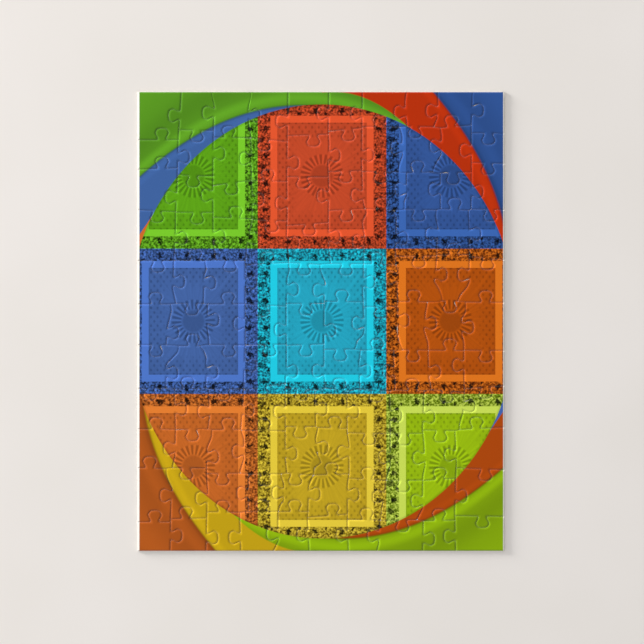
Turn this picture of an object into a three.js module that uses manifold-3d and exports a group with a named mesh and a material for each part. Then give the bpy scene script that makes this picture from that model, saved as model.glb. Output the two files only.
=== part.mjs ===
// Interlocking picture puzzle: one die-cut board of printed greyboard, lying face up.
// Millimetres, +Z up, the board centred on the Z axis with its underside on z = 0.
import * as THREE from "three";
import { mergeVertices } from "three/addons/utils/BufferGeometryUtils.js";
import Module from "manifold-3d";

// Board
const BOARD_WIDTH = 203.2;
const BOARD_HEIGHT = 254;
const THICKNESS = 1.9;
const KERF = 0.3; // gap that the cutting rule leaves between two pieces

// Knob, measured from the cut it stands on: neck on the cut, widest at the cheeks, flat crown
const NECK_HALF = 2.4;
const CHEEK_HALF = 3.6;
const CHEEK_REACH = 3.9;
const CROWN_HALF = 2.2;
const CROWN_REACH = 6.1;

// Uncut nicks that hold the pieces of a strip together, low in the board
const TIE_LENGTH = 1.6;
const TIE_SPAN = 1.6;
const TIE_BOTTOM = 0.1;
const TIE_TOP = 0.6;
const TIE_INSET = 2;

// Printed grid of three by three coloured fields
const FIELD_WIDTH = 71.1;
const FIELD_HEIGHT = 80.3;
const FIELD_COLOURS = [
  [0x58a026, 0xc33e20, 0x3458a5],
  [0x4460b2, 0x1c96b9, 0xbe520e],
  [0xcd6226, 0xbea519, 0x91be0f],
];
const PRINT_ROUGHNESS = 0.45;

// The long rules, left to right, each from the top edge of the board to the bottom edge.
// course: [y, x] bends of the rule; knobs: [y, side], side 1 to the right and -1 to the left.
const LONG_RULES = [
  {
    course: [
      [127, -77.2], [117, -77.8], [100, -79], [72, -79.6], [60, -80.4], [50, -80.4],
      [34, -81.4], [18, -82], [9.9, -80.2], [9.5, -83.2], [6, -82.6], [-3, -85],
      [-13.1, -85.6], [-13.6, -78.9], [-17, -79.3], [-20, -82], [-24, -85.6], [-37, -85.8],
      [-37.5, -81.1], [-60, -80.4], [-74, -80.8], [-81, -82.2], [-81.5, -85.6],
      [-86, -85.2], [-92.5, -82.4], [-101, -83], [-127, -83.4],
    ],
    knobs: [
      [113.8, -1], [91, 1], [68.7, -1], [46, 1], [22, 1], [-6.2, 1],
      [-28.5, 1], [-48.5, 1], [-70.2, -1], [-96.3, -1], [-118.5, 1],
    ],
  },
  {
    course: [
      [127, -60.1], [119, -59.1], [100, -59.6], [75, -59.8], [44, -59.6], [34, -58.5],
      [33.4, -64.1], [29, -63.4], [25, -64.7], [9.9, -65], [9.5, -62.7], [-3, -62.9],
      [-12.9, -61.8], [-13.5, -66.9], [-16, -65], [-20, -63.5], [-37, -63.6],
      [-37.5, -62.3], [-47, -61.8], [-53, -61.6], [-59.6, -62.6], [-60, -60.4],
      [-64, -60.6], [-70, -63], [-80, -63.3], [-94, -62.8], [-127, -63.6],
    ],
    knobs: [
      [115.3, -1], [92.8, 1], [69.8, -1], [47, 1], [21.4, 1], [0.9, 1],
      [-28, 1], [-49.8, -1], [-74.8, 1], [-97.8, -1], [-119.6, 1],
    ],
  },
  {
    course: [
      [127, -38.9], [118, -40.2], [110, -40], [101.5, -38.8], [57, -38], [42, -41],
      [33.6, -42], [-13.2, -42], [-37.5, -42.8], [-60, -44.4], [-65, -42.6],
      [-76, -42.8], [-84, -45], [-84.5, -40], [-105.2, -40.3], [-105.7, -45], [-127, -44.3],
    ],
    knobs: [
      [113.9, 1], [90, -1], [67.5, 1], [46, 1], [21.5, 1], [-1.2, -1],
      [-24.3, 1], [-49, 1], [-71.8, -1], [-95, -1], [-119.5, -1],
    ],
  },
  {
    course: [
      [127, -18.2], [83, -18.9], [62, -18.6], [48, -19], [38, -18.3], [28, -17.5],
      [24, -18.8], [8, -19.3], [-22, -19.1], [-33, -19.7], [-76, -19.8], [-83.9, -18.8],
      [-84.4, -22.3], [-90, -20.6], [-99, -20.8], [-102, -22.8], [-106, -23.9],
      [-121, -23.6], [-127, -26.2],
    ],
    knobs: [
      [110.7, -1], [87.8, 1], [65.4, -1], [43.3, 1], [17.8, 1], [-4.6, -1],
      [-27.6, 1], [-49.9, -1], [-73, 1], [-94.8, -1], [-117.5, -1],
    ],
  },
  {
    course: [
      [127, 4.4], [105, 4], [97, 4.5], [88, 3.8], [76, 4.3], [50, 4], [40, 4.2],
      [31.9, 5.4], [31.4, -0.4], [28, -0.2], [22, 2.2], [10, 1.7], [-31, 1.6],
      [-37, 2.4], [-38, -3.4], [-58.2, -2.9], [-58.7, -1.8], [-65, -3], [-73, -2.2],
      [-78, -0.1], [-81, -3.6], [-85, -4.5], [-91, -6.8], [-110, -7.4], [-127, -6.5],
    ],
    knobs: [
      [115, -1], [91.8, 1], [69.4, -1], [46.8, 1], [17.2, -1], [-4.9, 1],
      [-27.4, -1], [-48.6, 1], [-69.8, 1], [-95.5, 1], [-118, -1],
    ],
  },
  {
    course: [
      [127, 22.9], [88, 22.5], [66, 23.2], [60, 25], [55, 23], [48, 23.9], [28, 23.5],
      [17, 23.1], [5, 23.5], [-5, 23.8], [-7.5, 23.2], [-11, 20], [-15.3, 18.6],
      [-15.9, 21.8], [-23, 21], [-37.5, 21.5], [-38.5, 14.3], [-61, 14.4], [-68, 15.4],
      [-84, 15.6], [-90, 14.6], [-112, 14.6], [-127, 15.2],
    ],
    knobs: [
      [115, -1], [92, 1], [69.8, -1], [44.2, -1], [21.8, 1], [-0.9, -1],
      [-27.4, 1], [-50, 1], [-72.3, -1], [-95.8, 1], [-118.2, -1],
    ],
  },
  {
    course: [
      [127, 47.2], [121, 46.4], [111, 47.2], [107.9, 47.7], [107.5, 43.4], [103, 44.8],
      [92, 45], [86, 43.1], [82.6, 43], [82.1, 47.3], [69.5, 47.2], [66, 46], [62, 45.8],
      [61.5, 40.1], [56, 41.6], [42, 41.3], [34, 41], [28, 42.2], [-7, 42.2],
      [-11.5, 43.3], [-15.8, 44.8], [-16.2, 40], [-38, 41], [-38.6, 38], [-79, 38.4],
      [-88, 36], [-113, 32.3], [-123, 31.8], [-127, 30.9],
    ],
    knobs: [
      [115.8, -1], [96, -1], [73.1, -1], [46, 1], [24.3, -1], [0.6, 1],
      [-27.5, -1], [-52, 1], [-75, -1], [-97, -1], [-118.3, -1],
    ],
  },
  {
    course: [
      [127, 64.4], [119, 64.8], [112, 64], [107.5, 62.3], [106.9, 66], [103, 66.7],
      [92, 66.3], [86.5, 63], [82.6, 61.8], [82, 66], [62.1, 66.1], [61.5, 63.9],
      [58, 63.5], [52, 64.5], [30, 63.6], [22, 62.8], [17.5, 65.4], [11.3, 66.9],
      [10.7, 58.9], [5, 57.8], [-5, 57], [-12, 59.2], [-31, 59.6], [-37.8, 61],
      [-38.5, 57], [-60, 56.2], [-68, 57], [-79, 57.4], [-86, 56.3], [-103, 56.2],
      [-109.8, 53], [-110.4, 56.6], [-127, 56.2],
    ],
    knobs: [
      [116.5, -1], [97, -1], [73, -1], [48.3, -1], [26, 1], [-1, 1],
      [-27.8, 1], [-52.8, 1], [-75.4, -1], [-99.3, -1], [-120.3, 1],
    ],
  },
  {
    course: [
      [127, 84.2], [121, 83.6], [108, 83.1], [77, 83.3], [62, 82.9], [61.4, 81.5],
      [52, 82], [22, 82], [19, 80.8], [14.5, 77], [11.1, 75.4], [10.6, 79.8], [5, 79.8],
      [1.5, 77.8], [-7, 78], [-12, 79], [-38, 79.2], [-50, 78.7], [-57, 76.6],
      [-59.9, 76.3], [-60.5, 74.1], [-78, 74.8], [-105, 74], [-127, 74.5],
    ],
    knobs: [
      [116.7, 1], [94.6, -1], [71.7, 1], [48.4, 1], [25.9, -1], [-3.2, 1],
      [-24.2, -1], [-46.7, 1], [-73.8, -1], [-96.6, 1], [-118.8, -1],
    ],
  },
];

// The cross rules of each column, left column first and each from the top down:
// [y at the left end, y at the right end, x of the knob, side], side 1 up and -1 down.
const CROSS_RULES = [
  [
    [100.3, 100.4, -88, 1], [84, 84.8, -88, 1], [61.6, 60.6, -90.7, -1],
    [33.6, 33.6, -90.3, -1], [9.5, 9.5, -91.5, 1], [-13, -13.1, -91.3, -1],
    [-37.2, -37, -94.7, -1], [-59.5, -59.8, -91.3, 1], [-81, -81.5, -94.8, 1],
    [-111, -111, -92, 1],
  ],
  [
    [105.9, 105.4, -68.7, -1], [80.9, 80.2, -70.7, -1], [60.3, 60.2, -68.5, -1],
    [33.8, 33.4, -69.7, 1], [9.9, 9.9, -71.5, -1], [-13.6, -13.5, -71, 1],
    [-37.5, -37, -73.8, 1], [-59.8, -59.6, -71.3, -1], [-81, -81.1, -74.5, -1],
    [-109.3, -108.8, -74.7, 1],
  ],
  [
    [101.8, 101.3, -51.2, 1], [75.2, 78, -49.5, -1], [57.5, 56.6, -47.2, 1],
    [34, 33.6, -50.4, -1], [9.5, 9.7, -51.4, 1], [-12.9, -13.2, -51, -1],
    [-37.5, -37.3, -53.7, -1], [-60, -59.8, -51.5, 1], [-84.2, -84, -54.6, -1],
    [-105.4, -105.7, -54.4, 1],
  ],
  [
    [101.4, 99.4, -31.5, -1], [77.9, 77.3, -29.5, 1], [56.3, 55.4, -27.3, -1],
    [31.4, 32.4, -29.6, 1], [9.5, 8.3, -32.3, -1], [-13.1, -12.7, -28.5, -1],
    [-38, -34.4, -33, -1], [-60.2, -60.6, -31.5, 1], [-84.5, -84.4, -31, -1],
    [-105.2, -105.2, -32.5, 1],
  ],
  [
    [102.7, 103.4, -4.3, -1], [80, 79.8, -10, -1], [53, 54.6, -6.6, -1],
    [32.4, 31.4, -9.4, -1], [9.8, 9.9, -8.4, -1], [-13.3, -12.6, -8.5, -1],
    [-36.6, -38, -10.8, -1], [-58.2, -58.2, -11.6, -1], [-83.9, -85, -14.3, -1],
    [-105.3, -105.2, -14.5, 1],
  ],
  [
    [105.2, 106.9, 15, -1], [82.8, 83.4, 13.5, -1], [61.3, 62.1, 14, -1],
    [31.9, 31.8, 13.7, -1], [11, 10.7, 11.5, 1], [-15.6, -15.3, 10.6, -1],
    [-37, -38.5, 10.2, 1], [-58.7, -59.4, 7.6, 1], [-85, -84.4, 5.8, 1],
    [-108.4, -106.6, 6.5, 1],
  ],
  [
    [107.6, 107.5, 32.3, 1], [82.9, 82.6, 32.8, -1], [62.2, 61.5, 33.5, 1],
    [31.8, 31.2, 30.5, 1], [8, 8.3, 33, -1], [-15.9, -16.2, 31, 1],
    [-37.5, -38.6, 30.5, -1], [-61.7, -62.1, 26.5, -1], [-86.8, -87.9, 25.8, 1],
    [-109.6, -110, 25.2, 1],
  ],
  [
    [107.9, 107.5, 51.9, -1], [82.1, 82.6, 53.3, 1], [62, 61.5, 53.9, -1],
    [36, 36.1, 54, -1], [11, 10.7, 51.2, 1], [-15.8, -16, 50.8, -1],
    [-38, -38.5, 50.4, 1], [-62.2, -62, 46, -1], [-88, -87.9, 45.5, -1],
    [-110.2, -109.8, 45, -1],
  ],
  [
    [106.9, 108.5, 72.1, 1], [82, 82.5, 73, -1], [62.1, 61.4, 73.8, 1],
    [36.6, 37, 73.4, 1], [11.3, 11.1, 71.2, -1], [-16, -16.2, 71.2, 1],
    [-37.8, -39.3, 69.5, -1], [-60.1, -60.5, 66, -1], [-88.1, -86.8, 65.7, 1],
    [-110.4, -110, 65.2, 1],
  ],
  [
    [104.2, 104.1, 92.6, -1], [87.8, 87.2, 92.3, -1], [62, 61.7, 93.6, -1],
    [36, 34, 92, -1], [10.6, 10.4, 91, 1], [-16, -16.2, 91, -1],
    [-37.2, -35.6, 91, -1], [-59.9, -58.6, 86, 1], [-81, -82.2, 90.8, -1],
    [-107.5, -107.9, 89.2, -1],
  ],
];
const COLUMNS = CROSS_RULES.length;
const ROWS = CROSS_RULES[0].length + 1;
// Pieces outside these columns, or in the first or last row, belong to a joined strip
const FIRST_LOOSE_COLUMN = 3;
const LAST_LOOSE_COLUMN = COLUMNS - 2;
const IN_LINE = 0.01; // sine of a turn too slight to intersect the two sides of

const wasm = await Module();
wasm.setup();

const mix = (a, b, share) => a + (b - a) * share;

// Offset points of a knob as [along, out] pairs, walking along the rule.
const KNOB_OUTLINE = [
  [-NECK_HALF, 0], [-CHEEK_HALF, CHEEK_REACH], [-CROWN_HALF, CROWN_REACH],
  [CROWN_HALF, CROWN_REACH], [CHEEK_HALF, CHEEK_REACH], [NECK_HALF, 0],
];

// x of a long rule's course at a height, leaving its knobs out.
function courseX(course, y) {
  const next = course.findIndex((bend) => bend[0] <= y);
  if (next < 1) return course[0][1];
  const [above, below] = [course[next - 1], course[next]];
  return mix(above[1], below[1], (above[0] - y) / (above[0] - below[0]));
}

// A long rule as points { at, x, y } from the top down, where at falls all the way.
function longRule({ course, knobs }) {
  const onKnob = (y) => knobs.some(([middle]) => Math.abs(y - middle) <= NECK_HALF);
  const points = course.filter(([y]) => !onKnob(y)).map(([y, x]) => ({ at: y, x, y }));
  for (const [middle, side] of knobs) {
    KNOB_OUTLINE.forEach(([along, out], i) => {
      const share = i / (KNOB_OUTLINE.length - 1);
      const at = middle + NECK_HALF * (1 - 2 * share);
      const x = courseX(course, out === 0 ? at : middle) + side * out;
      points.push({ at, x, y: middle - along });
    });
  }
  return points.sort((a, b) => b.at - a.at);
}

// The board's own side as a rule without knobs.
const sideRule = (x) => [BOARD_HEIGHT / 2, -BOARD_HEIGHT / 2].map((y) => ({ at: y, x, y }));

const RULES = [
  sideRule(-BOARD_WIDTH / 2),
  ...LONG_RULES.map(longRule),
  sideRule(BOARD_WIDTH / 2),
];

// The point where a rule passes a height, on one of its plain stretches.
function pointAt(rule, y) {
  const next = Math.max(1, rule.findIndex((point) => point.at <= y));
  const [above, below] = [rule[next - 1], rule[next]];
  const share = (above.at - y) / (above.at - below.at);
  return new THREE.Vector2(mix(above.x, below.x, share), y);
}

// The stretch of a rule between two heights, from the top down, with both ends.
function stretch(rule, top, bottom) {
  const inner = rule.filter((point) => point.at < top && point.at > bottom);
  return [
    pointAt(rule, top),
    ...inner.map((point) => new THREE.Vector2(point.x, point.y)),
    pointAt(rule, bottom),
  ];
}

// Cross rule number i of a column, from left to right; 0 and ROWS are the board's own edges.
function crossRule(column, i) {
  const left = RULES[column - 1], right = RULES[column];
  if (i === 0 || i === ROWS) {
    const y = i === 0 ? BOARD_HEIGHT / 2 : -BOARD_HEIGHT / 2;
    return [pointAt(left, y), pointAt(right, y)];
  }
  const [yLeft, yRight, middle, side] = CROSS_RULES[column - 1][i - 1];
  const [start, end] = [pointAt(left, yLeft), pointAt(right, yRight)];
  const yAt = (x) => mix(yLeft, yRight, (x - start.x) / (end.x - start.x));
  const knob = KNOB_OUTLINE.map(([along, out]) =>
    new THREE.Vector2(middle + along, yAt(out === 0 ? middle + along : middle) + side * out));
  return [start, ...knob, end];
}

// Outline of one piece, clockwise, on the middle of the cuts.
function pieceOutline(row, column) {
  const above = crossRule(column, row - 1), below = crossRule(column, row);
  const right = stretch(RULES[column], above.at(-1).y, below.at(-1).y);
  const left = stretch(RULES[column - 1], above[0].y, below[0].y);
  const loop = [...above, ...right, ...below.reverse(), ...left.reverse()];
  return loop.filter((point, i) => point.distanceTo(loop.at(i - 1)) > KERF);
}

// The outline moved inwards by half the kerf, except along the board's own edges.
function trimmed(loop) {
  const onEdge = (a, b) =>
    (Math.abs(a.x) === BOARD_WIDTH / 2 && a.x === b.x) ||
    (Math.abs(a.y) === BOARD_HEIGHT / 2 && a.y === b.y);
  const sides = loop.map((point, i) => {
    const next = loop[(i + 1) % loop.length];
    const run = next.clone().sub(point).normalize();
    const inward = new THREE.Vector2(run.y, -run.x);
    return { run, inward, move: onEdge(point, next) ? 0 : KERF / 2 };
  });
  return loop.map((point, i) => {
    const before = sides.at(i - 1), after = sides[i];
    const turn = before.run.cross(after.run);
    if (Math.abs(turn) < IN_LINE) return point.clone().addScaledVector(after.inward, after.move);
    // Where the two moved sides meet
    return point.clone()
      .addScaledVector(before.run, after.move / turn)
      .addScaledVector(after.run, -before.move / turn);
  });
}

// Between three.js geometry and manifold solids, for joining only.
function toSolid(geometry) {
  const bare = new THREE.BufferGeometry().setAttribute("position", geometry.getAttribute("position"));
  bare.setIndex(geometry.index);
  const merged = mergeVertices(bare);
  return new wasm.Manifold(new wasm.Mesh({
    numProp: 3,
    vertProperties: new Float32Array(merged.attributes.position.array),
    triVerts: new Uint32Array(merged.index.array),
  }));
}

function toGeometry(solid) {
  const mesh = solid.getMesh();
  return new THREE.BufferGeometry()
    .setAttribute("position", new THREE.BufferAttribute(new Float32Array(mesh.vertProperties), 3))
    .setIndex(new THREE.BufferAttribute(new Uint32Array(mesh.triVerts), 1));
}

function pieceGeometry(row, column) {
  const shape = new THREE.Shape(trimmed(pieceOutline(row, column)));
  return new THREE.ExtrudeGeometry(shape, { depth: THICKNESS, bevelEnabled: false });
}

// A nick across a cut; alongX tells which way the cut runs there.
function tieGeometry(point, alongX) {
  const [sizeX, sizeY] = alongX ? [TIE_LENGTH, TIE_SPAN] : [TIE_SPAN, TIE_LENGTH];
  return new THREE.BoxGeometry(sizeX, sizeY, TIE_TOP - TIE_BOTTOM)
    .translate(point.x, point.y, (TIE_TOP + TIE_BOTTOM) / 2);
}

// The nick between a piece and the one to its right, close to the board's own edge.
function rowTie(row, column) {
  const y = (row === 1 ? 1 : -1) * (BOARD_HEIGHT / 2 - TIE_INSET);
  return tieGeometry(pointAt(RULES[column], y), false);
}

// The nick between a piece and the one below it, midway along the longer plain end of the cut.
function columnTie(row, column) {
  const cut = crossRule(column, row);
  const [start, knobStart, knobEnd, end] = [cut[0], cut[1], cut.at(-2), cut.at(-1)];
  const startIsLonger = knobStart.x - start.x > end.x - knobEnd.x;
  const middle = startIsLonger ? start.lerp(knobStart, 0.5) : end.lerp(knobEnd, 0.5);
  return tieGeometry(middle, true);
}

// Colour of the printed field under a point of the board.
function fieldColour(x, y) {
  const field = (offset) => THREE.MathUtils.clamp(Math.round(offset) + 1, 0, 2);
  return FIELD_COLOURS[field(-y / FIELD_HEIGHT)][field(x / FIELD_WIDTH)];
}

const puzzle = new THREE.Group();

function addMesh(name, geometry) {
  geometry.computeBoundingBox();
  const middle = geometry.boundingBox.getCenter(new THREE.Vector3());
  const material = new THREE.MeshStandardMaterial({
    color: fieldColour(middle.x, middle.y),
    roughness: PRINT_ROUGHNESS,
    metalness: 0,
  });
  const mesh = new THREE.Mesh(geometry, material);
  mesh.name = name;
  puzzle.add(mesh);
}

// A strip of pieces as one body: cells are [row, column] pairs, ties the nicks between them.
function addStrip(name, cells, ties) {
  const pieces = cells.map(([row, column]) => pieceGeometry(row, column));
  const solid = [...pieces, ...ties].map(toSolid).reduce((joined, next) => joined.add(next));
  addMesh(name, toGeometry(solid));
}

const count = (first, last) => Array.from({ length: last - first + 1 }, (_, i) => first + i);

function addRowStrip(name, row) {
  const columns = count(1, COLUMNS);
  const ties = columns.slice(0, -1).map((column) => rowTie(row, column));
  addStrip(name, columns.map((column) => [row, column]), ties);
}

function addColumnStrip(name, column) {
  const rows = count(2, ROWS - 1);
  const ties = rows.slice(0, -1).map((row) => columnTie(row, column));
  addStrip(name, rows.map((row) => [row, column]), ties);
}

addRowStrip("top_border_row", 1);
addRowStrip("bottom_border_row", ROWS);
addColumnStrip("left_border_column", 1);
addColumnStrip("left_inner_column", 2);
addColumnStrip("right_inner_column", COLUMNS - 1);
addColumnStrip("right_border_column", COLUMNS);

const two = (n) => String(n).padStart(2, "0");
for (const row of count(2, ROWS - 1))
  for (const column of count(FIRST_LOOSE_COLUMN, LAST_LOOSE_COLUMN))
    addMesh(`piece_r${two(row)}_c${two(column)}`, pieceGeometry(row, column));

export default puzzle;
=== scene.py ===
"""Looks of an assembled interlocking picture puzzle that lies face up on a pale table.

Each die-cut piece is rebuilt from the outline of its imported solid, with rounded knobs, a pressed
edge and its layers of board. One procedural print runs over all of them. Lengths are millimetres
until a mesh is made.
"""

import math
import random

import bmesh
import bpy
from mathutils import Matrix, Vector


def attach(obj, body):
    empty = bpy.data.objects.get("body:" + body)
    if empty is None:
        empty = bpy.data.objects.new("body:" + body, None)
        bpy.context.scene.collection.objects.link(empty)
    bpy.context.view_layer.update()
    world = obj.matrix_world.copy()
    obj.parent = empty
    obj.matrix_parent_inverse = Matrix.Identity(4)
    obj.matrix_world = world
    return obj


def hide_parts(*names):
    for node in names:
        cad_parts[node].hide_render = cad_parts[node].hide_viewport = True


MM = 0.001
WELD = 1e-6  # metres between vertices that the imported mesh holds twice

# ---- the board ----
BOARD_WIDTH = 203.2
BOARD_HEIGHT = 254.0
SURFACE = 1.9  # height of the printed face
SETTLE = 0.05  # most that a piece sits below the surface
LEAST_SETTLED = 0.3  # and the least, as a share of that
TILT = 0.0025  # most that a piece leans, as a slope
GROW = 0.145  # a piece is this much fuller all round than its solid, which closes the cuts
PIECE_SEED = 11  # of the pieces' heights and leans

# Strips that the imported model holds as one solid: whether they run in a row, and which
STRIPS = {
    "top_border_row": ("row", 1),
    "bottom_border_row": ("row", 11),
    "left_border_column": ("column", 1),
    "left_inner_column": ("column", 2),
    "right_inner_column": ("column", 9),
    "right_border_column": ("column", 10),
}

# Rings of a piece from its underside to its face: (inset, height, material of the band above)
PRINT, EDGE, BACKING = range(3)
RINGS = [
    (0.14, 0.0, BACKING),
    (0.03, 0.05, BACKING),
    (0.0, 0.14, EDGE),
    (0.0, 0.7, EDGE),
    (0.0, 1.3, EDGE),
    (0.0, 1.38, PRINT),
    (0.0, 1.53, PRINT),
    (0.015, 1.55, PRINT),
    (0.1, 1.6, PRINT),
    (0.22, 1.662, PRINT),
    (0.36, 1.728, PRINT),
    (0.52, 1.79, PRINT),
    (0.7, 1.842, PRINT),
    (0.88, 1.876, PRINT),
    (1.02, 1.893, PRINT),
    (1.12, SURFACE, PRINT),
]
FACE_FROM = 1.45  # rings above this follow a piece's lean
RIM_WIDTH = 0.25  # how far in from the cut the print is paler: partly real wear, partly a painted highlight that lightens the shaded crease

# Rounding of an outline
STRAIGHT = math.radians(2)  # a smaller turn is no corner
SLIGHT = math.radians(35)  # and neither is this one where points crowd
CROWDED = 0.8
SHARP = math.radians(70)  # corners of a piece turn by more than this
NECK = math.radians(98)  # and the necks of its knobs by more than this
CORNER_EASE = 0.35
BEND_EASE = 1.3
NECK_EASE = 1.0
EASE_SHARE = 0.36  # most of a stretch that the rounding at one of its ends takes up
EASE_STEPS = 4
HEAD_POINTS = 4  # points on the head of a knob, between its two necks
KNOB_STEPS = 5
KNOB_SWELL = 0.85  # how full the curve between two knob points is
INSET_SHARE = 0.95  # most of a stretch that may be used up by moving it inwards
PARALLEL = 0.01  # a stretch whose ends close in by less than this is never used up


# ---- outlines ----


def top_outlines(node):
    """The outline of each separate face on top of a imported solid, counterclockwise."""
    bm = bmesh.new()
    bm.from_mesh(node.data)
    bmesh.ops.remove_doubles(bm, verts=bm.verts, dist=WELD)
    top = max(v.co.z for v in bm.verts)
    faces = [f for f in bm.faces if all(v.co.z > top - WELD for v in f.verts)]
    inside = set(faces)
    following = {}
    for face in faces:
        for loop in face.loops:
            if not any(f in inside for f in loop.edge.link_faces if f is not face):
                following[loop.vert] = loop.link_loop_next.vert
    outlines = []
    while following:
        start = next(iter(following))
        outline, vert = [], start
        while vert in following:
            outline.append(vert.co.xy / MM)
            vert = following.pop(vert)
        outlines.append(outline)
    bm.free()
    return outlines


class Outline:
    """The corners of a piece, counterclockwise, with what its rings need at each of them."""

    def __init__(self, points):
        self.points = [p for i, p in enumerate(points) if abs(turn_at(points, i)) > STRAIGHT]
        self.points = uncrowded(self.points)
        self.count = len(self.points)
        self.turns = [turn_at(self.points, i) for i in range(self.count)]
        self.lengths = [(self.points[i] - self.points[i - 1]).length for i in range(self.count)]
        self.on_head = self.knob_heads()
        self.ease = [self.ease_at(i) for i in range(self.count)]
        stretches = [self.most_inset(i) for i in range(self.count)]
        self.limits = [min(stretches[i], stretches[self.after(i)]) for i in range(self.count)]

    def after(self, i):
        """The index of the next point."""
        return (i + 1) % self.count

    def knob_heads(self):
        """Which points lie on the head of a knob or socket, between its two necks."""
        found = [False] * self.count
        for i, turn in enumerate(self.turns):
            other_neck = self.turns[(i + HEAD_POINTS + 1) % self.count]
            if abs(turn) > NECK and abs(other_neck) > NECK:
                for k in range(1, HEAD_POINTS + 1):
                    found[(i + k) % self.count] = True
        return found

    def ease_at(self, i):
        """How far from a point its rounding starts."""
        if self.on_head[i]:
            return 0
        size = abs(self.turns[i])
        wanted = NECK_EASE if size > NECK else CORNER_EASE if size > SHARP else BEND_EASE
        shorter = min(self.lengths[i], self.lengths[self.after(i)])
        return min(wanted, EASE_SHARE * shorter)

    def most_inset(self, i):
        """How far the stretch that ends at a point may move inwards before it is used up."""
        closing = math.tan(self.turns[i - 1] / 2) + math.tan(self.turns[i] / 2)
        room = INSET_SHARE * self.lengths[i] - self.ease[i - 1] - self.ease[i]
        return room / closing if closing > PARALLEL else math.inf

    def inset(self, amount):
        """The corners moved inwards, each along its bisector."""
        moved = []
        for i, p in enumerate(self.points):
            before = (p - self.points[i - 1]).normalized()
            after = (self.points[self.after(i)] - p).normalized()
            inward = Vector((-before.y - after.y, before.x + after.x))
            share = 2 * min(amount, self.limits[i]) / inward.length_squared
            moved.append(p + inward * share)
        return moved

    def stops(self, points, i):
        """Where the ring arrives at point i and leaves it: at the point itself on a head."""
        p = points[i]
        if self.on_head[i]:
            return p, p
        back = (points[i - 1] - p).normalized()
        ahead = (points[self.after(i)] - p).normalized()
        if self.on_head[i - 1]:
            back = square_to(back, ahead)
        if self.on_head[self.after(i)]:
            ahead = square_to(ahead, back)
        return p + back * self.ease[i], p + ahead * self.ease[i]

    def ring(self, amount):
        """The smooth line of the piece, inset: knob heads swell, corners and necks are eased."""
        points = self.inset(amount)
        stops = [self.stops(points, i) for i in range(self.count)]
        ring = []
        for i, p in enumerate(points):
            j = self.after(i)
            arrive, leave = stops[i]
            ring += [p] if self.on_head[i] else eased(arrive, p, leave)
            if not (self.on_head[i] or self.on_head[j]):
                continue
            goal = stops[j][0]
            run = points[j] - points[i - 1] if self.on_head[i] else leave - p
            goal_run = points[self.after(j)] - p if self.on_head[j] else points[j] - goal
            reach = (goal - leave).length * KNOB_SWELL
            ring += curve(leave, goal, run.normalized() * reach, goal_run.normalized() * reach)
        return ring


def turn_at(points, i):
    """How far the outline turns at point i, positive to the left."""
    before = points[i] - points[i - 1]
    after = points[(i + 1) % len(points)] - points[i]
    return math.atan2(before.cross(after), before.dot(after))


def uncrowded(points):
    """The outline without slight bends right beside another point."""
    kept = []
    for i, p in enumerate(points):
        after = points[(i + 1) % len(points)]
        gap = min((p - points[i - 1]).length, (after - p).length)
        if gap > CROWDED or abs(turn_at(points, i)) > SLIGHT:
            kept.append(p)
    return kept


def square_to(direction, along):
    """The part of a direction that is square to another one, at length 1."""
    return (direction - along * direction.dot(along)).normalized()


def curve(start, end, start_run, end_run):
    """Points between two ends of a curve that leaves and arrives along the runs."""
    made = []
    for k in range(1, KNOB_STEPS):
        t = k / KNOB_STEPS
        made.append(
            start * (1 + 2 * t) * (1 - t) ** 2
            + start_run * t * (1 - t) ** 2
            + end * t * t * (3 - 2 * t)
            + end_run * t * t * (t - 1)
        )
    return made


def eased(start, corner, end):
    """Points of a rounded corner, ends included."""
    made = []
    for k in range(EASE_STEPS + 1):
        t = k / EASE_STEPS
        made.append(start * (1 - t) ** 2 + corner * 2 * t * (1 - t) + end * t * t)
    return made


# ---- pieces ----


def piece_rings(points, lean):
    """The rings of a piece as lists of points, from the underside up, inside the board's edge."""
    outline = Outline(points)
    centre = sum(points, Vector((0, 0))) / len(points)
    made = []
    for amount, height, _ in RINGS:
        side, end = BOARD_WIDTH / 2 - amount, BOARD_HEIGHT / 2 - amount
        made.append(
            [
                (
                    min(max(p.x, -side), side),
                    min(max(p.y, -end), end),
                    height if height < FACE_FROM else height - lean(p - centre),
                )
                for p in outline.ring(amount - GROW)
            ]
        )
    return made


def piece_lean(rng):
    """How much lower than flush a piece's face is, at a place on it."""
    drop = rng.uniform(LEAST_SETTLED, 1) * SETTLE
    slope = Vector((rng.uniform(-TILT, TILT), rng.uniform(-TILT, TILT)))
    return lambda place: max(0, drop + slope.dot(place))


def piece_object(name, outline, rng, materials):
    """One puzzle piece as a closed mesh."""
    rings = piece_rings(outline, piece_lean(rng))
    count = len(rings[0])
    vertices = [[c * MM for c in p] for ring in rings for p in ring]
    underside = list(reversed(range(count)))
    faces, slots = [underside], [BACKING]
    for level, (_, _, slot) in enumerate(RINGS[:-1]):
        base = level * count
        for i in range(count):
            j = (i + 1) % count
            faces.append((base + i, base + j, base + count + j, base + count + i))
            slots.append(slot)
    faces.append(range((len(rings) - 1) * count, len(rings) * count))
    slots.append(PRINT)
    mesh = bpy.data.meshes.new(name)
    mesh.from_pydata(vertices, [], faces)
    rim = mesh.attributes.new("rim", "FLOAT", "POINT")
    rim.data.foreach_set(
        "value",
        [max(0, 1 - amount / RIM_WIDTH) for amount, _, _ in RINGS for _ in range(count)],
    )
    for material in materials:
        mesh.materials.append(material)
    for polygon, slot in zip(mesh.polygons, slots):
        polygon.material_index = slot
        polygon.use_smooth = len(polygon.vertices) == 4  # the bands, not the two flat faces
    piece = bpy.data.objects.new(name, mesh)
    bpy.context.scene.collection.objects.link(piece)
    return piece


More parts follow.
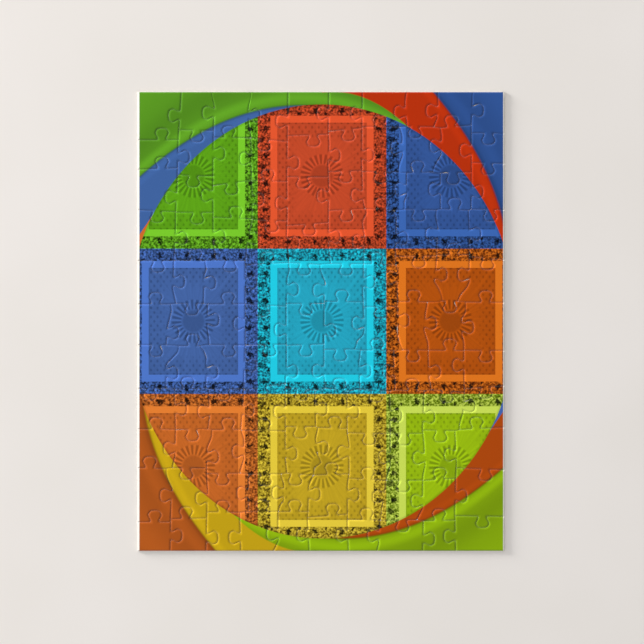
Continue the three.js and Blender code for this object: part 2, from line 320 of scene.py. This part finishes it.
def piece_name(node, index):
    """The name of a solid's piece: a strip holds several, counted along it."""
    if node not in STRIPS:
        return node.replace("piece", "puzzle")
    run, place = STRIPS[node]
    if run == "row":
        return f"puzzle_r{place:02d}_c{index + 1:02d}"
    return f"puzzle_r{index + 2:02d}_c{place:02d}"


def along_strip(node, outline):
    """What the pieces of a strip are sorted by: left to right, or top to bottom."""
    middle = sum(outline, Vector((0, 0))) / len(outline)
    return middle.x if STRIPS.get(node, ("row",))[0] == "row" else -middle.y


def build_pieces(frame, materials):
    """All puzzle pieces, each on the body of the solid that it stands for."""
    rng = random.Random(PIECE_SEED)
    for node in sorted(frame["nodes"]):
        outlines = top_outlines(frame["nodes"][node])
        outlines.sort(key=lambda outline: along_strip(node, outline))
        for index, outline in enumerate(outlines):
            piece = piece_object(piece_name(node, index), outline, rng, materials)
            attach(piece, node)
            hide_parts(node)


# ---- shader arithmetic ----


class Signal:
    """A number that varies over a surface. Arithmetic on it adds Math nodes."""

    def __init__(self, tree, socket):
        self.tree, self.socket = tree, socket

    def math(self, operation, *values):
        node = self.tree.nodes.new("ShaderNodeMath")
        node.operation = operation
        for value, plug in zip(values, node.inputs):
            put(self.tree, value, plug)
        return Signal(self.tree, node.outputs[0])

    def __add__(self, other):
        return self.math("ADD", self, other)

    def __sub__(self, other):
        return self.math("SUBTRACT", self, other)

    def __rsub__(self, other):
        return self.math("SUBTRACT", other, self)

    def __mul__(self, other):
        return self.math("MULTIPLY", self, other)

    def __truediv__(self, other):
        return self.math("DIVIDE", self, other)

    __radd__, __rmul__ = __add__, __mul__

    def above(self, other):
        return self.math("GREATER_THAN", self, other)

    def size(self):
        return self.math("ABSOLUTE", self)

    def nearest(self):
        return self.math("ROUND", self)

    def larger(self, other):
        return self.math("MAXIMUM", self, other)

    def smaller(self, other):
        return self.math("MINIMUM", self, other)

    def root(self):
        return self.math("SQRT", self)

    def sign(self):
        return self.math("SIGN", self)

    def ramp(self, start, end, low=0.0, high=1.0):
        """Rises smoothly from low at start to high at end."""
        node = self.tree.nodes.new("ShaderNodeMapRange")
        node.interpolation_type = "SMOOTHSTEP"
        for name, value in zip(
            ("Value", "From Min", "From Max", "To Min", "To Max"), (self, start, end, low, high)
        ):
            put(self.tree, value, node.inputs[name])
        return Signal(self.tree, node.outputs["Result"])

    def bump_at(self, middle, width):
        """1 at the middle, falling smoothly to 0 a width away."""
        return (self - middle).size().ramp(0, width, 1, 0)


def put(tree, value, plug):
    """Sets a socket to a constant, or links a signal or another socket to it."""
    if isinstance(value, Signal):
        value = value.socket
    if isinstance(value, bpy.types.NodeSocket):
        tree.links.new(value, plug)
    elif isinstance(value, tuple) and plug.type == "RGBA":
        plug.default_value = (*value, 1)
    else:
        plug.default_value = value


def length(a, b):
    """The length of a step of a along one axis and b along the other."""
    return (a * a + b * b).root()


def mix(tree, share, a, b, blend="MIX"):
    """Colour a with a share of colour b."""
    node = tree.nodes.new("ShaderNodeMix")
    node.data_type = "RGBA"
    node.blend_type = blend
    put(tree, share, node.inputs["Factor"])
    plugs = [s for s in node.inputs if s.type == "RGBA"]
    put(tree, a, plugs[0])
    put(tree, b, plugs[1])
    return next(s for s in node.outputs if s.type == "RGBA")


def shaded(tree, colour, brightness):
    """A colour made darker or brighter by a signal."""
    grey = tree.nodes.new("ShaderNodeCombineColor")
    for plug in grey.inputs:
        put(tree, brightness, plug)
    return mix(tree, 1.0, colour, grey.outputs[0], "MULTIPLY")


def vector(tree, x, y, z):
    """Three signals as one place."""
    node = tree.nodes.new("ShaderNodeCombineXYZ")
    for value, plug in zip((x, y, z), node.inputs):
        put(tree, value, plug)
    return node.outputs[0]


def noise(tree, place, scale, detail=2.0, distortion=0.0):
    """Smooth noise from 0 to 1 with about scale features to each unit of place."""
    node = tree.nodes.new("ShaderNodeTexNoise")
    for name, value in (
        ("Vector", place),
        ("Scale", scale),
        ("Detail", detail),
        ("Distortion", distortion),
    ):
        put(tree, value, node.inputs[name])
    return Signal(tree, node.outputs["Fac"])


def position(tree):
    """Place in the board's frame in millimetres: x, y and z signals and the vector."""
    source = tree.nodes.new("ShaderNodeTexCoord")
    split = tree.nodes.new("ShaderNodeSeparateXYZ")
    tree.links.new(source.outputs["Object"], split.inputs[0])
    x, y, z = (Signal(tree, s) * (1 / MM) for s in split.outputs)
    return x, y, z, vector(tree, x, y, z)


def rgb(red, green, blue):
    """A linear colour from the 0 to 255 values of a swatch."""
    shares = (value / 255 for value in (red, green, blue))
    return tuple(c / 12.92 if c <= 0.04045 else ((c + 0.055) / 1.055) ** 2.4 for c in shares)


# ---- the printed picture ----
# Nine framed fields in an oval window, with broad swirls outside it

PRINT_HALF_WIDTH, PRINT_HALF_HEIGHT = 100.5, 126.8  # the paper stays bare outside this
PRINT_RIGHT, PRINT_DOWN = 0.4, 0.3  # of the picture's centre from the board's
BARE_PAPER = rgb(226, 221, 214)

# A field: a mottled margin, a frame line, and a panel with dots and a sunburst
FIELD_WIDTH, FIELD_HEIGHT = 71.1, 80.3
FIELD_RISE = 0.4  # of the middle field above the picture's centre
FRAME_HALF_WIDTH, FRAME_HALF_HEIGHT = 28.5, 33.3
FRAME_LINE = 3.8
BLOT_PITCH = 14.9  # between the blots of a row in the margin
BLOT_SOFT = 0.75  # half width of a blot's blurred edge
DOT_COLUMN, DOT_ROW = 3.6, 4.9  # spacing of the dots, which form a diamond lattice
DOT_EDGE = (0.1, 0.34)  # of a dot, as a share of that spacing
DOTS_REACH = (-13, -4)  # from the frame line inwards, where dots and shade fade
LIP_WIDTH = 1.3  # of the shade right inside the frame line
STREAKS = 16  # fineness of the grain around a sunburst
STREAK_BREAK = 0.06  # and along its rays
RAYS = 24
RAYS_FROM, RAYS_TO = (6.2, 7.2), (11.4, 12.6)  # where they fade in and out
DISC_EDGE = (5.2, 6.8)

# The oval window and the width of the blur between colours, half on each side
OVAL_HALF_WIDTH, OVAL_HALF_HEIGHT = 107.5, 120.0
OVAL_RISE = 0.3  # of its centre above the picture's
OVAL_SHADE = 1.6  # width of the shade inside it
OVAL_SOFT = 0.25
EDGE_SOFT = 0.15
SWIRL_SOFT = 0.7

PANELS = [  # bottom row first, left to right
    [rgb(198, 102, 36), rgb(194, 163, 31), rgb(154, 190, 11)],
    [rgb(66, 99, 163), rgb(35, 166, 195), rgb(182, 82, 7)],
    [rgb(93, 163, 19), rgb(197, 73, 39), rgb(51, 86, 153)],
]
FRAMES = [
    [rgb(230, 127, 48), rgb(231, 204, 60), rgb(202, 223, 88)],
    [rgb(77, 118, 202), rgb(30, 205, 230), rgb(225, 118, 28)],
    [rgb(121, 202, 42), rgb(229, 86, 45), rgb(59, 103, 181)],
]


def chosen(tree, column, row, table):
    """The colour of a table of three rows of three, by column and row from -1 to 1."""
    right, past_left = column.above(0.5), column.above(-0.5)
    rows = [
        mix(tree, right, mix(tree, past_left, line[0], line[1]), line[2]) for line in table
    ]
    lower = mix(tree, row.above(-0.5), rows[0], rows[1])
    return mix(tree, row.above(0.5), lower, rows[2])


def margin(tree, u, v, out, place, bright, deep):
    """The mottled margin, with rows of dark blots out millimetres from the frame."""
    side = (u.size() - FRAME_HALF_WIDTH).above(v.size() - FRAME_HALF_HEIGHT)
    along = v * side + u * (1 - side)
    left = side * (0 - u).above(0)
    mottle = noise(tree, place, scale=0.6, detail=1.0, distortion=0.5)
    speck = noise(tree, place, scale=0.95, detail=1.0)

    def blots(offset, centre, reach, stretch):
        """A row of ragged blots: where it starts, its middle line, and their size and shape."""
        cycle = (along - offset) / BLOT_PITCH
        from_middle = (cycle - cycle.nearest()) * BLOT_PITCH
        rough = (mottle - 0.5) * 1.4 + (speck - 0.5) * 2.0
        distance = length(from_middle, (out - centre) * stretch) + rough
        return distance.ramp(reach - BLOT_SOFT, reach + BLOT_SOFT, 1, 0)

    large = blots(offset=-3.7, centre=2.8, reach=1.3, stretch=0.75)
    small = blots(offset=2.3, centre=1.1, reach=0.75, stretch=1.0)
    outer = blots(offset=5.2, centre=4.6, reach=1.5, stretch=0.7) * left * 0.8
    ink = large.larger(small).larger(outer)
    light = (mottle - 0.5) * 1.1 + (speck - 0.5) * 1.35
    ground = mix(tree, (speck + mottle).ramp(0.8, 1.2), deep, bright)
    ground = shaded(tree, ground, (light * (1 + left * 0.2) + 0.57).larger(0.16))
    return shaded(tree, ground, 1 - ink * 0.92)


def rosette(tree, u, v):
    """Brightness of the sunburst in the middle of a panel: a disc with short rays around it."""
    radius = length(u, v)
    angle = radius.math("ARCTAN2", v, u)
    wave = radius.math("SINE", angle * RAYS)
    rays = radius.ramp(*RAYS_FROM) * radius.ramp(*RAYS_TO, 1, 0)
    disc = radius.ramp(*DISC_EDGE, 1, 0)
    return 1 - disc * 0.26 - rays * wave.ramp(-0.8, 0.7, -0.14, 0.4)


def panel_grain(tree, u, v, inner):
    """Brightness of a panel: fine rays of grain and small dots along its frame."""
    radius = length(u, v).larger(0.5)  # never 0
    along_ray = vector(tree, u / radius * STREAKS, v / radius * STREAKS, radius * STREAK_BREAK)
    streaks = noise(tree, along_ray, scale=1.0, detail=3.0)
    a = u / DOT_COLUMN + v / DOT_ROW
    b = u / DOT_COLUMN - v / DOT_ROW
    dots = length(a - a.nearest(), b - b.nearest()).ramp(*DOT_EDGE, 1, 0)
    near_frame = inner.ramp(*DOTS_REACH)
    lip = inner.ramp(-LIP_WIDTH, 0)
    return 1 + (streaks - 0.5) * 0.35 - dots * near_frame * 0.3 - near_frame * 0.07 - lip * 0.14


def fields(tree, x, y, place):
    """The nine fields. Within one, u and v run from its middle, out and inner from its frame."""
    column = (x / FIELD_WIDTH).nearest()
    row = ((y - FIELD_RISE) / FIELD_HEIGHT).nearest()
    u = x - column * FIELD_WIDTH
    v = y - FIELD_RISE - row * FIELD_HEIGHT
    out = (u.size() - FRAME_HALF_WIDTH).larger(v.size() - FRAME_HALF_HEIGHT)
    panel = chosen(tree, column, row, PANELS)
    frame_line = chosen(tree, column, row, FRAMES)
    inner = out + FRAME_LINE
    brightness = panel_grain(tree, u, v, inner) * rosette(tree, u, v)
    in_frame = inner.ramp(-EDGE_SOFT, EDGE_SOFT)
    inside = mix(tree, in_frame, shaded(tree, panel, brightness), frame_line)
    outside = margin(tree, u, v, out, place, frame_line, panel)
    return mix(tree, out.ramp(-EDGE_SOFT, EDGE_SOFT), inside, outside)


def swirl(tree, across, base, bands):
    """A base colour shaded by bands that run along a line: middle, width and change."""
    brightness = 1
    for middle, width, change in bands:
        brightness = brightness + across.bump_at(middle, width) * change
    return shaded(tree, base, brightness)


def bow(along, middle, crown, bend):
    """Height of a parabola over a line: its crown over the middle, falling to both sides."""
    off_middle = along - middle
    return crown - off_middle * off_middle * bend


def swirls(tree, x, y):
    """Outside the oval: a half turn of the picture swaps each swirl for its partner."""
    half = (y + 0.01).sign()  # 1 in the upper half, -1 in the lower, never 0
    top = half.above(0)
    across, up = x * half, y.size()
    corner_line = up - bow(across, middle=-12, crown=119.6, bend=0.005)
    wedge_line = up - bow(across, middle=6, crown=127.3, bend=0.0112)
    far_line = across - bow(up, middle=30, crown=101.4 + half * 1.6, bend=0.0044)
    sliver_line = up - (58.5 + (across + 94) * 1.46)
    near = 0 - across
    near_side, far_side = near.above(0), across.above(0)

    def pair(upper, lower):
        return mix(tree, top, lower, upper)

    corner = swirl(
        tree,
        corner_line,
        pair(rgb(86, 146, 30), rgb(129, 163, 7)),
        [(4.5, 5, 0.34), (0, 1.3, -0.42), (17, 13, -0.14), (48, 26, 0.14)],
    )
    crescent = swirl(
        tree,
        corner_line,
        pair(rgb(62, 98, 159), rgb(173, 71, 7)),
        [(0, 1.5, -0.3), (-3.5, 3, 0.1)],
    )
    wedge = swirl(
        tree,
        far_line,
        pair(rgb(184, 48, 6), rgb(194, 160, 17)),
        [(0, 1.4, -0.36), (-4, 4, 0.14)],
    )
    far = swirl(
        tree,
        far_line,
        pair(rgb(44, 78, 140), rgb(167, 82, 25)),
        [(0, 3.6, -0.3), (8, 6, 0.14), (34, 20, 0.2)],
    )
    sliver = pair(rgb(205, 105, 42), rgb(66, 100, 176))
    in_crescent = corner_line.ramp(-SWIRL_SOFT, SWIRL_SOFT, 1, 0) * near_side
    in_sliver = sliver_line.ramp(-0.3, 0.3, 1, 0) * near.above(90)
    in_wedge = wedge_line.ramp(-0.5, 0.5) * far_side
    wedge_foot = (up - 100).ramp(0, 1, 1, 0) * across.above(40)
    in_far = far_line.ramp(-SWIRL_SOFT, SWIRL_SOFT) * far_side
    picture = mix(tree, in_crescent, corner, crescent)
    picture = mix(tree, in_sliver, picture, sliver)
    picture = mix(tree, in_wedge, picture, wedge)
    picture = mix(tree, wedge_foot, picture, wedge)
    return mix(tree, in_far, picture, far)


def print_colour(tree, x, y, place):
    """The whole picture, printed a little to the right of the board's middle and low."""
    x, y = x - PRINT_RIGHT, y + PRINT_DOWN
    oval = length(x / OVAL_HALF_WIDTH, (y - OVAL_RISE) / OVAL_HALF_HEIGHT)
    outward = (oval - 1) * OVAL_HALF_HEIGHT
    shade = outward.ramp(-OVAL_SHADE, 0, 1, 0.72)
    window = shaded(tree, fields(tree, x, y, place), shade)
    return mix(tree, outward.ramp(-OVAL_SOFT, OVAL_SOFT), window, swirls(tree, x, y))


# ---- materials ----


def new_material(name):
    """A material, its node tree and its shader."""
    material = bpy.data.materials.new(name)
    material.use_nodes = True
    tree = material.node_tree
    return material, tree, tree.nodes["Principled BSDF"]


def bump(tree, shader, height, strength, distance):
    """Fine relief: height signal from 0 to 1, distance in millimetres."""
    node = tree.nodes.new("ShaderNodeBump")
    node.inputs["Strength"].default_value = strength
    node.inputs["Distance"].default_value = distance * MM
    put(tree, height, node.inputs["Height"])
    tree.links.new(node.outputs[0], shader.inputs["Normal"])


def printed_face():
    """Satin print on white paper, paler along the cuts from wear and a painted highlight, and left
    bare at the board's edge.
    """
    material, tree, shader = new_material("printed_face")
    x, y, _, place = position(tree)
    picture = print_colour(tree, x, y, place)
    grain = noise(tree, place, scale=2.6, detail=3.0)
    drift = noise(tree, place, scale=0.03, detail=1.0)
    picture = shaded(tree, picture, 0.95 + grain * 0.05 + drift * 0.05)
    rim = tree.nodes.new("ShaderNodeAttribute")
    rim.attribute_name = "rim"
    # Bare paper along the cuts: partly real wear, partly a painted highlight that lightens the
    # shaded crease between pieces
    wear_and_painted_highlight = Signal(tree, rim.outputs["Fac"]) * grain.ramp(0.35, 0.65, 0.0, 0.14)
    to_border = (PRINT_HALF_WIDTH - x.size()).smaller(PRINT_HALF_HEIGHT - y.size())
    bare = (to_border + (grain - 0.5) * 0.2).ramp(-EDGE_SOFT, EDGE_SOFT, 1, 0)
    colour = mix(tree, wear_and_painted_highlight.larger(bare), picture, BARE_PAPER)
    put(tree, colour, shader.inputs["Base Color"])
    put(tree, grain.ramp(0.3, 0.7, 0.32, 0.4), shader.inputs["Roughness"])
    shader.inputs["Specular IOR Level"].default_value = 0.3
    texture = noise(tree, place, scale=1.6, detail=4.0)
    bump(tree, shader, texture, strength=0.25, distance=0.02)
    return material


def board_edge():
    """Cut side of a piece: white face paper, layered greyboard, thin backing paper."""
    material, tree, shader = new_material("greyboard_edge")
    x, y, z, place = position(tree)
    fibre = noise(tree, vector(tree, x * 0.5, y * 0.5, z * 7), scale=1.0, detail=4.0)
    fleck = noise(tree, place, scale=5.0, detail=2.0)
    board = mix(tree, fibre.ramp(0.3, 0.7), rgb(139, 131, 120), rgb(184, 177, 165))
    board = mix(tree, fleck.ramp(0.6, 0.7), board, rgb(105, 98, 90))
    face_paper = (z + (fibre - 0.5) * 0.08).ramp(1.18, 1.24)
    back_paper = z.ramp(0.13, 0.17, 1, 0)
    colour = mix(tree, face_paper.larger(back_paper), board, rgb(236, 232, 224))
    put(tree, colour, shader.inputs["Base Color"])
    put(tree, fibre.ramp(0.2, 0.8, 0.8, 0.95), shader.inputs["Roughness"])
    bump(tree, shader, fibre, strength=0.6, distance=0.08)
    return material


def backing_paper():
    """Underside: uncoated grey-white paper with fibres and faint clouds."""
    material, tree, shader = new_material("backing_paper")
    x, y, z, place = position(tree)
    grain = vector(tree, x * 0.5, y * 2.2, z)
    fibre = noise(tree, grain, scale=1.0, detail=5.0, distortion=0.6)
    cloud = noise(tree, place, scale=0.08)
    colour = mix(tree, fibre.ramp(0.3, 0.7), rgb(205, 202, 196), rgb(222, 220, 214))
    colour = shaded(tree, colour, cloud.ramp(0.3, 0.7, 0.94, 1.0))
    put(tree, colour, shader.inputs["Base Color"])
    put(tree, fibre.ramp(0.2, 0.8, 0.75, 0.9), shader.inputs["Roughness"])
    bump(tree, shader, fibre, strength=0.4, distance=0.03)
    return material


def table_top():
    """Pale matt surface under the puzzle."""
    material, tree, shader = new_material("table_top")
    *_, place = position(tree)
    cloud = noise(tree, place, scale=0.01)
    colour = mix(tree, cloud.ramp(0.3, 0.7), rgb(231, 226, 221), rgb(234, 229, 225))
    put(tree, colour, shader.inputs["Base Color"])
    shader.inputs["Roughness"].default_value = 0.85
    shader.inputs["Specular IOR Level"].default_value = 0.2
    return material


# ---- surroundings ----

# Metres, and degrees for the lamps' places
FLOOR_REACH = 40
FLOOR_BELOW = 0.00006  # the underside
LAMP_AZIMUTH = 151
LAMP_DISTANCE = 5.0
LAMP_COLOUR = (1.0, 0.985, 0.965)
SKY, ZENITH = (0.97, 0.985, 1.0), (0.1, 0.1, 0.1)
SKY_STRENGTH = 0.52
DARKENING = (0.8, 0.94)  # sines of the elevations between which the sky turns to its zenith
CAMERA_HEIGHT = 1.2
SEEN = 0.356  # width of the view at the printed face
SENSOR = 36  # millimetres


def build_floor():
    """A wide pale floor just under the board."""
    mesh = bpy.data.meshes.new("floor")
    square = [(-1, -1), (1, -1), (1, 1), (-1, 1)]
    points = [(x * FLOOR_REACH, y * FLOOR_REACH, -FLOOR_BELOW) for x, y in square]
    mesh.from_pydata(points, [], [(0, 1, 2, 3)])
    mesh.materials.append(table_top())
    floor = bpy.data.objects.new("floor", mesh)
    bpy.context.scene.collection.objects.link(floor)


def soft_light(name, size, elevation, energy):
    """A round lamp from the upper left, aimed at the board and not mirrored in the print."""
    up, around = math.radians(elevation), math.radians(LAMP_AZIMUTH)
    towards = Vector(
        (math.cos(up) * math.cos(around), math.cos(up) * math.sin(around), math.sin(up))
    )
    data = bpy.data.lights.new(name, "AREA")
    data.shape = "DISK"
    data.size = size
    data.energy = energy
    data.color = LAMP_COLOUR
    lamp = bpy.data.objects.new(name, data)
    lamp.visible_glossy = False
    lamp.location = towards * LAMP_DISTANCE
    lamp.rotation_euler = towards.to_track_quat("Z", "Y").to_euler()
    bpy.context.scene.collection.objects.link(lamp)
    return lamp


def build_lights():
    """A low key that casts the shadow, a lamp above it for the relief, and a pale sky."""
    soft_light("key", size=2.2, elevation=13, energy=285)
    relief = soft_light("relief", size=1.8, elevation=31, energy=172)
    relief.data.use_shadow = False
    world = bpy.data.worlds.new("fill")
    world.use_nodes = True
    tree = world.node_tree
    source = tree.nodes.new("ShaderNodeTexCoord")
    split = tree.nodes.new("ShaderNodeSeparateXYZ")
    tree.links.new(source.outputs["Generated"], split.inputs[0])
    up = Signal(tree, split.outputs["Z"])
    background = tree.nodes["Background"]
    put(tree, mix(tree, up.ramp(*DARKENING), SKY, ZENITH), background.inputs["Color"])
    background.inputs["Strength"].default_value = SKY_STRENGTH
    bpy.context.scene.world = world


def build_camera():
    """Straight above the middle of the picture, its top edge up."""
    data = bpy.data.cameras.new("camera")
    data.sensor_width = SENSOR
    data.lens = SENSOR * (CAMERA_HEIGHT - SURFACE * MM) / SEEN
    camera = bpy.data.objects.new("camera", data)
    camera.location = (PRINT_RIGHT * MM, -PRINT_DOWN * MM, CAMERA_HEIGHT)
    bpy.context.scene.collection.objects.link(camera)
    bpy.context.scene.camera = camera


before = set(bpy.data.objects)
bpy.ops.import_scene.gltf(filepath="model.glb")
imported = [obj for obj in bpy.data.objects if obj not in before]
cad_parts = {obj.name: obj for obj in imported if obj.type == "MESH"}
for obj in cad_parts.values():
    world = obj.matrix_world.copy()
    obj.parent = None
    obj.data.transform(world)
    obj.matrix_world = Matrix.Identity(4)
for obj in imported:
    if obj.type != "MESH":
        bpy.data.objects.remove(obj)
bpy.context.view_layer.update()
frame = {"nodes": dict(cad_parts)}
bpy.context.scene.view_settings.view_transform = "Standard"
build_camera()
build_lights()
build_floor()
build_pieces(frame, [printed_face(), board_edge(), backing_paper()])
